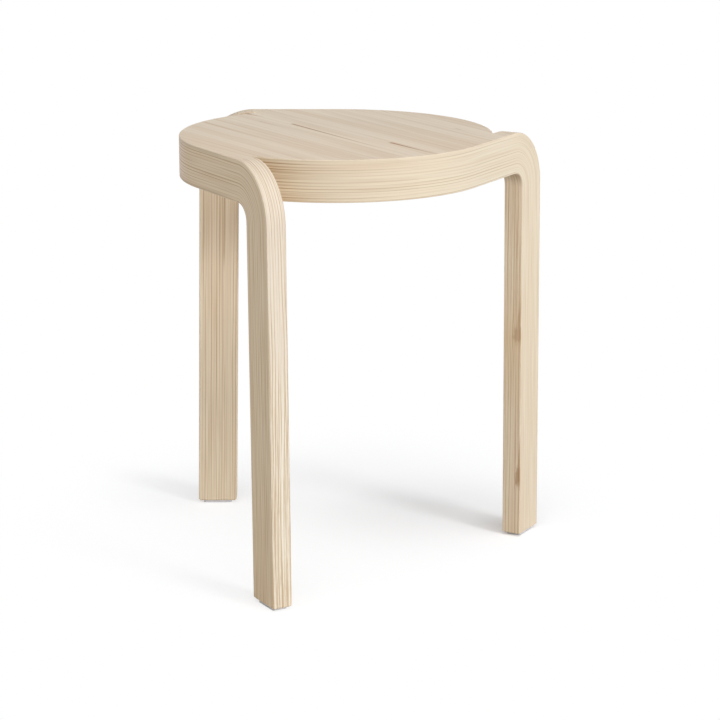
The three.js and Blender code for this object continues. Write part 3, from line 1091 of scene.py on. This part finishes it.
class STOOL_OT_glides(Operator):
    """Make the plastic glides under the feet, countersunk for their screws"""

    bl_idname = "stool.glides"
    bl_label = "Glides"

    def execute(self, context):
        sizes = context.scene.stool_sizes
        length, width, thickness = extent("glide_3")
        rows = rounded_rows(0.0, thickness, sizes.glide_edge)
        master = ring_solid("glide_master", rounded_rectangle(length, width, sizes.glide_corner), rows)
        head = SCREW_BOX[0].z
        taper = sizes.screw_head - sizes.screw_shank
        hole_rows = [
            (0.0, -thickness, 1.0),
            (0.0, head, 1.0),
            (taper, head + taper, 1.0),
            (taper, 2 * thickness, 1.0),
        ]
        hole = round_outline(lambda turn, height: sizes.screw_head + HEAD_PLAY, HOLE_SIDES)
        for side in (-1, 1):
            cut_away(master, "countersink", hole, hole_rows, side * SCREW_PITCH / 2)
        plastic = plastic_material("grey_glide_plastic", GREY_PLASTIC)
        foot = plan(sizes).foot
        set_in_rows("plastic_glide", master, 1, 0.0, foot, "glide_{}", plastic)
        return {"FINISHED"}


class STOOL_OT_glide_screws(Operator):
    """Make the countersunk screws that hold the glides"""

    bl_idname = "stool.glide_screws"
    bl_label = "Glide screws"

    def execute(self, context):
        sizes = context.scene.stool_sizes
        head, tip = SCREW_BOX[0].z, SCREW_BOX[1].z
        taper = sizes.screw_head - sizes.screw_shank
        thread_start = head + taper + sizes.thread_pitch
        point_start = tip - POINT_LENGTH * sizes.screw_shank
        core = sizes.screw_shank * THREAD_CORE

        def radius_at(turn, height):
            if height <= head + taper:
                return sizes.screw_head
            if height < thread_start:
                return sizes.screw_shank
            share_on = (height / sizes.thread_pitch - turn / math.tau) % 1
            ridge = max(0.0, 1 - abs(share_on - 0.5) * RIDGE_SHARPNESS)
            narrowing = min(1.0, max(POINT_END, (tip - height) / (tip - point_start)))
            return (core + (sizes.screw_shank - core) * ridge) * narrowing

        rows = [(0.0, head, 1.0), (taper, head + taper, 1.0)]
        step = sizes.thread_pitch / THREAD_STEPS
        height = head + taper + step
        while height < tip:
            rows.append((0.0, height, 1.0))
            height += step
        rows.append((0.0, tip, 1.0))
        master = ring_solid("screw_master", round_outline(radius_at, SCREW_SIDES), rows)
        depth = sizes.screw_head * CROSS_DEPTH
        cross_rows = [(0.0, head - depth, 1.0), (0.0, head, 1.0), (depth * CROSS_TAPER, head + depth, 1.0)]
        cross = cross_outline(sizes.screw_head * CROSS_LENGTH, sizes.screw_head * CROSS_WIDTH)
        cut_away(master, "driver", cross, cross_rows)
        steel = steel_material("zinc_screw_steel", *ZINC_STEEL)
        foot = plan(sizes).foot
        node = "glide_screw_{}_{}"
        set_in_rows("glide_screws", master, 2, SCREW_PITCH, foot, node, steel)
        return {"FINISHED"}


class STOOL_OT_dowels(Operator):
    """Make the fluted dowels between the seat's core and the arms"""

    bl_idname = "stool.dowels"
    bl_label = "Dowels"

    def execute(self, context):
        flutes = context.scene.stool_sizes.dowel_flutes
        _, length, thickness = extent("dowel_3_1")
        radius = thickness / 2

        def radius_at(turn, height):
            return radius - radius * FLUTE_DEPTH * (1 - math.cos(turn * flutes)) / 2

        rows = rounded_rows(0.0, length, radius * DOWEL_ROUNDING)
        master = ring_solid("dowel_master", round_outline(radius_at, DOWEL_SIDES), rows)
        for vertex in master.data.vertices:
            vertex.co = (vertex.co.x, vertex.co.z, -vertex.co.y)
        along = SEAT_CENTRE.x - (MIDDLE_DOWEL_BOX[0].x + MIDDLE_DOWEL_BOX[1].x) / 2
        middle = (along, SEAT_CENTRE.y - DOWEL_BOX[1].y, (DOWEL_BOX[0].z + DOWEL_BOX[1].z) / 2)
        beech = beech_material("beech_dowel", *BEECH)
        set_in_rows("fluted_dowels", master, 3, DOWEL_PITCH, middle, "dowel_{}_{}", beech)
        return {"FINISHED"}


# The photograph's camera: its place, how far it looks down and aside, and its lens
CAMERA_PLACE = (-0.00816, -2.50043, 0.8542)
CAMERA_TURN = (75.508, 0.0, -0.104)
CAMERA_LENS = 125.11
# The lamps: the way they turn and how broad they are
KEY_TURN = (math.radians(70), 0.0, math.radians(47))
KEY_SPREAD = math.radians(15)
OVER_TURN = (math.radians(25), 0.0, math.radians(10))
OVER_SPREAD = math.radians(60)
# Where the floor keeps its shadows: a place from the seat's axis, the reaches that they fade between, and
# their share
FLOOR_SHADES = (
    ((0.0, 0.08), 0.14, 0.42, 0.18),
    ((0.15, 0.09), 0.04, 0.2, 0.42),
    ((0.18, 0.05), 0.01, 0.07, 0.22),
    ((0.06, 0.18), 0.05, 0.28, 0.18),
    ((-0.1, -0.15), 0.02, 0.13, 0.22),
    ((-0.18, 0.19), 0.02, 0.13, 0.28),
)
FLOOR_REACH = 30.0
# To the camera the floor is a little cool, which makes up for the warm light that the wood sends down to it
FLOOR_TINT = (1.0, 1.015, 1.045)


def seen(graph):
    """1 where the camera sees the surface, straight or through gloss or glass."""
    rays = graph.node("ShaderNodeLightPath").output.node.outputs
    kinds = ("Is Camera Ray", "Is Glossy Ray", "Is Transmission Ray")
    camera, glossy, through = [Socket(graph, rays[kind]) for kind in kinds]
    return camera.most(glossy).most(through)


class STOOL_OT_stage(Operator):
    """Set up the floor, the light and the camera"""

    bl_idname = "stool.stage"
    bl_label = "Stage"

    def execute(self, context):
        studio = context.scene.stool_studio
        self.camera(context)
        self.floor(studio)
        self.world(context, studio)
        self.sun("key", studio.key_strength, KEY_TURN, KEY_SPREAD)
        self.sun("over", studio.over_strength, OVER_TURN, OVER_SPREAD)
        context.scene.view_settings.view_transform = "Standard"
        return {"FINISHED"}

    def camera(self, context):
        lens = bpy.data.cameras.new("camera")
        lens.lens = CAMERA_LENS
        camera = added("camera", lens)
        camera.location = CAMERA_PLACE
        camera.rotation_euler = [math.radians(turn) for turn in CAMERA_TURN]
        context.scene.camera = camera

    def sun(self, name, strength, turn, spread):
        lamp = bpy.data.lights.new(name, "SUN")
        lamp.energy = strength
        lamp.angle = spread
        added(name, lamp).rotation_euler = turn

    def floor(self, studio):
        """A pale floor. To the camera it is white where no shadow falls, and away from the places in
        FLOOR_SHADES it glows white over its shadows, so that they fade with distance.
        """
        mesh = bpy.data.meshes.new("floor")
        corners = [(x * FLOOR_REACH, y * FLOOR_REACH, 0) for x, y in ((-1, -1), (1, -1), (1, 1), (-1, 1))]
        mesh.from_pydata(corners, [], [(0, 1, 2, 3)])
        material, graph, shader = shader_graph("floor")
        x, y, _ = graph.place()
        kept = 0.0
        for (middle_x, middle_y), near, far, most in FLOOR_SHADES:
            ahead = x - SEAT_CENTRE.x - middle_x
            beside = y - SEAT_CENTRE.y - middle_y
            kept = (1 - ((ahead * ahead + beside * beside) ** 0.5).rise(near, far)) * most + kept
        gain = [level * studio.floor_gain * tint for level, tint in zip(studio.floor_colour, FLOOR_TINT)]
        # Painted white that covers the floor's shadows away from the places where they are kept
        white = graph.node("ShaderNodeEmission", {"Color": opaque(PLAIN), "Strength": 1.0})
        shaded = graph.node("ShaderNodeBsdfDiffuse", {"Color": opaque(gain)})
        to_camera = graph.node("ShaderNodeMixShader", {0: kept, 1: white, 2: shaded})
        plain = graph.node("ShaderNodeBsdfDiffuse", {"Color": opaque(studio.floor_colour)})
        surface = graph.node("ShaderNodeMixShader", {0: seen(graph), 1: plain, 2: to_camera})
        graph.tree.nodes.remove(shader)
        graph.fill(graph.tree.nodes["Material Output"], {"Surface": surface})
        mesh.materials.append(material)
        added("floor", mesh)

    def world(self, context, studio):
        world = bpy.data.worlds.new("studio")
        world.use_nodes = True
        graph = Graph(world.node_tree)
        level = studio.room_strength + (1 - studio.room_strength) * seen(graph)
        values = {"Color": opaque(PLAIN), "Strength": level}
        graph.fill(world.node_tree.nodes["Background"], values)
        context.scene.world = world


OPERATORS = (
    STOOL_OT_stage,
    STOOL_OT_face_plies,
    STOOL_OT_seat_core,
    STOOL_OT_legs,
    STOOL_OT_dowels,
    STOOL_OT_glides,
    STOOL_OT_glide_screws,
)


# Where a scene keeps its settings
SETTINGS = {"stool_sizes": StoolSizes, "stool_pine": PineFinish, "stool_studio": StudioSettings}


class STOOL_PT_panel(Panel):
    """Lists the steps that make the stool"""

    bl_idname = "STOOL_PT_panel"
    bl_label = "Stacking stool"
    bl_space_type = "VIEW_3D"
    bl_region_type = "UI"
    bl_category = "Stool"

    def draw(self, context):
        for operator in OPERATORS:
            self.layout.operator(operator.bl_idname)
        for name, settings in SETTINGS.items():
            box = self.layout.box()
            for title in settings.__annotations__:
                box.prop(getattr(context.scene, name), title)


CLASSES = (*SETTINGS.values(), *OPERATORS, STOOL_PT_panel)


def register():
    for item in CLASSES:
        bpy.utils.register_class(item)
    for name, settings in SETTINGS.items():
        setattr(bpy.types.Scene, name, PointerProperty(type=settings))


def unregister():
    for name in SETTINGS:
        delattr(bpy.types.Scene, name)
    for item in reversed(CLASSES):
        bpy.utils.unregister_class(item)


def main():
    register()
    bpy.ops.stool.stage()
    bpy.ops.stool.face_plies()
    bpy.ops.stool.seat_core()
    bpy.ops.stool.legs()
    bpy.ops.stool.dowels()
    bpy.ops.stool.glides()
    bpy.ops.stool.glide_screws()


if __name__ == "__main__":
    main()
